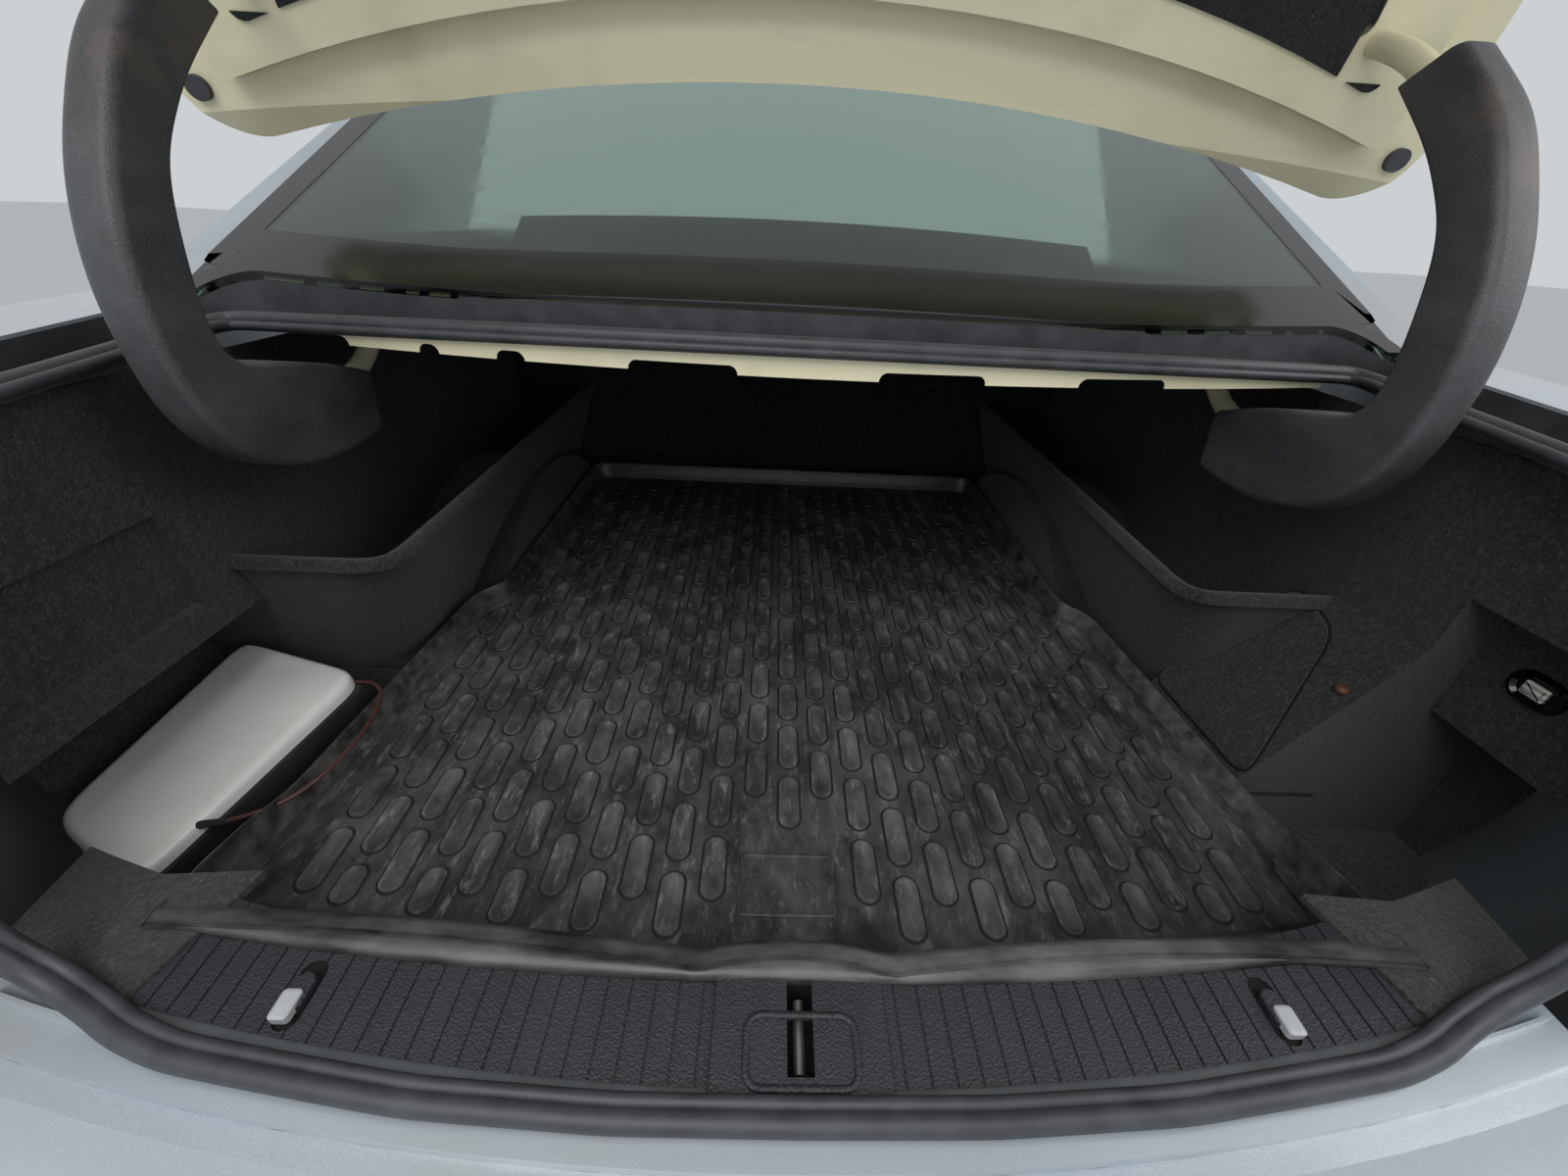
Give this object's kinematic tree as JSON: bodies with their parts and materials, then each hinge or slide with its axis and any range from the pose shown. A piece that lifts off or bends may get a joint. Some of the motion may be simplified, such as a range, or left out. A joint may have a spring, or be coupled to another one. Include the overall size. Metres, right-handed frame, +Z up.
{
  "type": "open boot section of a saloon taxi",
  "caption": "Rear body section of a saloon taxi with its boot lid open: felt-lined load space, rubber mat, gooseneck hinges, rear window, lamps, bumper and a blank roof sign stowed inside.",
  "frame": {"origin": "centre of the front face of the closed cross beam under the seat bulkhead, where the section joins the rest of the car body", "axes": "+X to the right of the car, +Y forwards, +Z up"},
  "size_m": [1.833, 1.488, 1.5366],
  "materials": {
    "body_paint": "pale silver blue metallic lacquer, dusty",
    "inner_paint": "ivory primer paint, satin, dusty",
    "under_paint": "dark grey underbody coating",
    "bumper_paint": "silver blue lacquer on moulding",
    "window_glass": "green tinted toughened glass",
    "lamp_red": "red lamp moulding",
    "lamp_clear": "milky clear lamp moulding",
    "seal_rubber": "grey black hollow seal rubber",
    "mat_rubber": "black rubber, worn dusty grey",
    "felt": "charcoal needle felt with brownish dust",
    "lid_felt": "black felt moulding",
    "dark_plastic": "grained dark blue grey plastic, scuffed",
    "trim_black": "black trim",
    "zinc_steel": "zinc plated steel",
    "board": "brown fibre board",
    "plate_white": "blank white plate",
    "sign_white": "white plastic, slightly soiled",
    "sign_dark": "dark rubber base",
    "lead": "red brown lead"
  },
  "bodies": {
    "section": {"quarter_right": "body_paint", "quarter_left": "body_paint", "roof_header": "body_paint", "rear_glass": "window_glass", "tail_lamps": "lamp_red", "opening_gutter": "body_paint", "rear_panel": "body_paint", "opening_seal": "seal_rubber", "bumper_cover": "bumper_paint", "wheelhouses": "under_paint", "floor_pan": "inner_paint", "spare_tub": "inner_paint", "chassis_rails": "under_paint", "seat_bulkhead": "inner_paint", "parcel_shelf": "felt", "shelf_cross_member": "inner_paint", "liner_right": "felt", "liner_left": "felt", "well_liner_right": "felt", "well_liner_left": "felt", "liner_front": "felt", "floor_board": "board", "access_cover": "felt", "boot_mat": "mat_rubber", "scuff_plate": "dark_plastic", "sill_hooks": "dark_plastic", "striker_cover": "dark_plastic", "striker_loop": "zinc_steel", "boot_lamp": "lamp_clear", "brake_lamp": "trim_black", "glass_trim": "trim_black", "hinge_brackets": "zinc_steel", "sign_shell": "sign_white", "sign_base": "sign_dark", "sign_lead": "lead"},
    "lid": {"lid_skin": "body_paint", "lid_inner": "inner_paint", "lid_liner": "lid_felt", "plate_panel": "plate_white", "lid_latch": "dark_plastic", "lid_buffers": "seal_rubber", "hinge_arm_right": "inner_paint", "hinge_arm_left": "inner_paint", "hinge_cover_right": "dark_plastic", "hinge_cover_left": "dark_plastic"}
  },
  "joints": [
    {"name": "lid_hinge", "type": "hinge", "parent": "section", "child": "lid", "pos_m": [0, -0.65, 0.482], "axis": [1, 0, 0], "range_deg": [0, 76]}
  ]
}
